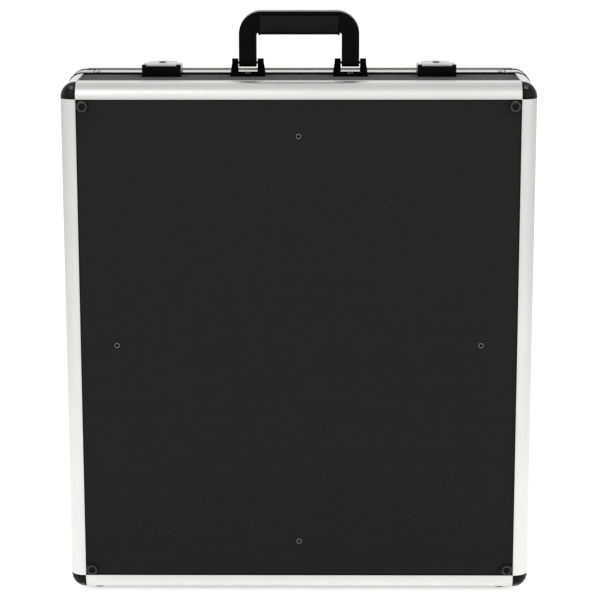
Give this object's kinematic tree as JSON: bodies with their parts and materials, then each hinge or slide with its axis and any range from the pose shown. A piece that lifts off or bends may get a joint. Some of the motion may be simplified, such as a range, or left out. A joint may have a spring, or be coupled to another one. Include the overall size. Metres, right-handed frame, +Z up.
{
  "type": "mixer carrying case",
  "caption": "Upright aluminium-framed hard case with black panels, ball corners, folding handle, two draw latches, hinged lid and padded inside with mixer retaining blocks.",
  "frame": {"origin": "under the standing feet, in the middle of the whole width and depth", "axes": "+Z up, through the handle's side; -Y the way the base's face panel looks; +X to the right seen from the front"},
  "size_m": [0.5218, 0.175, 0.655],
  "materials": {
    "laminate": "satin",
    "aluminium": "satin",
    "corner_plastic": "gloss",
    "corner_metal": "polished",
    "handle_plastic": "gloss",
    "grip": "matte",
    "housing_plastic": "gloss",
    "latch_chrome": "polished",
    "lock_chrome": "polished",
    "hinge_steel": "satin",
    "rivet_steel": "satin",
    "screw_steel": "satin",
    "rubber": "matte",
    "foam": "matte",
    "block_wood": "matte"
  },
  "bodies": {
    "base": {"base_ball_corners": "corner_plastic", "base_bottom_edge": "aluminium", "base_bottom_rim": "aluminium", "base_bottom_wall": "laminate", "base_corner_posts": "aluminium", "base_face_panel": "laminate", "base_floor_foam": "foam", "base_foot_screws": "screw_steel", "base_hinge_leaves": "hinge_steel", "base_left_edge": "aluminium", "base_left_rim": "aluminium", "base_left_wall": "laminate", "base_right_edge": "aluminium", "base_right_rim": "aluminium", "base_right_wall": "laminate", "base_rim_corners": "corner_metal", "base_rivets": "rivet_steel", "base_standing_feet": "rubber", "base_top_edge": "aluminium", "base_top_rim": "aluminium", "base_top_wall": "laminate", "base_wall_foam": "foam", "block_screws": "screw_steel", "bracket_screws": "screw_steel", "face_feet": "rubber", "face_foot_screws": "screw_steel", "handle_bracket_left": "handle_plastic", "handle_bracket_right": "handle_plastic", "handle_pins": "screw_steel", "hinge_pins": "screw_steel", "latch_lever_pins": "screw_steel", "left_latch_housing": "housing_plastic", "retaining_blocks": "block_wood", "right_latch_housing": "housing_plastic"},
    "lid": {"lid_ball_corners": "corner_plastic", "lid_corner_posts": "aluminium", "lid_end_edges": "aluminium", "lid_end_rims": "aluminium", "lid_end_walls": "laminate", "lid_face_panel": "laminate", "lid_foam": "foam", "lid_foot_screws": "screw_steel", "lid_hinge_leaves": "hinge_steel", "lid_rim_corners": "corner_metal", "lid_rivets": "rivet_steel", "lid_side_edges": "aluminium", "lid_side_rims": "aluminium", "lid_side_walls": "laminate", "lid_standing_feet": "rubber", "latch_keepers": "hinge_steel"},
    "handle": {"handle_frame": "handle_plastic", "handle_grip": "grip"},
    "left_lever": {"left_lever": "latch_chrome"},
    "left_claw": {"left_claw": "latch_chrome"},
    "left_lock": {"left_lock_barrel": "lock_chrome"},
    "right_lever": {"right_lever": "latch_chrome"},
    "right_claw": {"right_claw": "latch_chrome"},
    "right_lock": {"right_lock_barrel": "lock_chrome"}
  },
  "joints": [
    {"name": "lid_hinge", "type": "hinge", "parent": "base", "child": "lid", "pos_m": [0, 0.0317, 0.0032], "axis": [-1, 0, 0], "range_deg": [0, 175]},
    {"name": "handle_fold", "type": "hinge", "parent": "base", "child": "handle", "pos_m": [0, 0.0035, 0.5973], "axis": [1, 0, 0], "range_deg": [-90, 90]},
    {"name": "left_lever_lift", "type": "hinge", "parent": "base", "child": "left_lever", "pos_m": [-0.1535, 0.027, 0.5909], "axis": [-1, 0, 0], "range_deg": [0, 85]},
    {"name": "left_claw_swing", "type": "hinge", "parent": "left_lever", "child": "left_claw", "pos_m": [-0.1535, 0.013, 0.5909], "axis": [-1, 0, 0], "range_deg": [-85, 0]},
    {"name": "left_key_turn", "type": "hinge", "parent": "left_lever", "child": "left_lock", "pos_m": [-0.1535, 0.017, 0.5965], "axis": [0, 0, 1], "range_deg": [0, 90]},
    {"name": "right_lever_lift", "type": "hinge", "parent": "base", "child": "right_lever", "pos_m": [0.1535, 0.027, 0.5909], "axis": [-1, 0, 0], "range_deg": [0, 85]},
    {"name": "right_claw_swing", "type": "hinge", "parent": "right_lever", "child": "right_claw", "pos_m": [0.1535, 0.013, 0.5909], "axis": [-1, 0, 0], "range_deg": [-85, 0]},
    {"name": "right_key_turn", "type": "hinge", "parent": "right_lever", "child": "right_lock", "pos_m": [0.1535, 0.017, 0.5965], "axis": [0, 0, 1], "range_deg": [0, 90]}
  ],
  "couplings": [
    {"joint": "left_claw_swing", "follows": "left_lever_lift", "ratio": -1},
    {"joint": "right_claw_swing", "follows": "right_lever_lift", "ratio": -1}
  ]
}
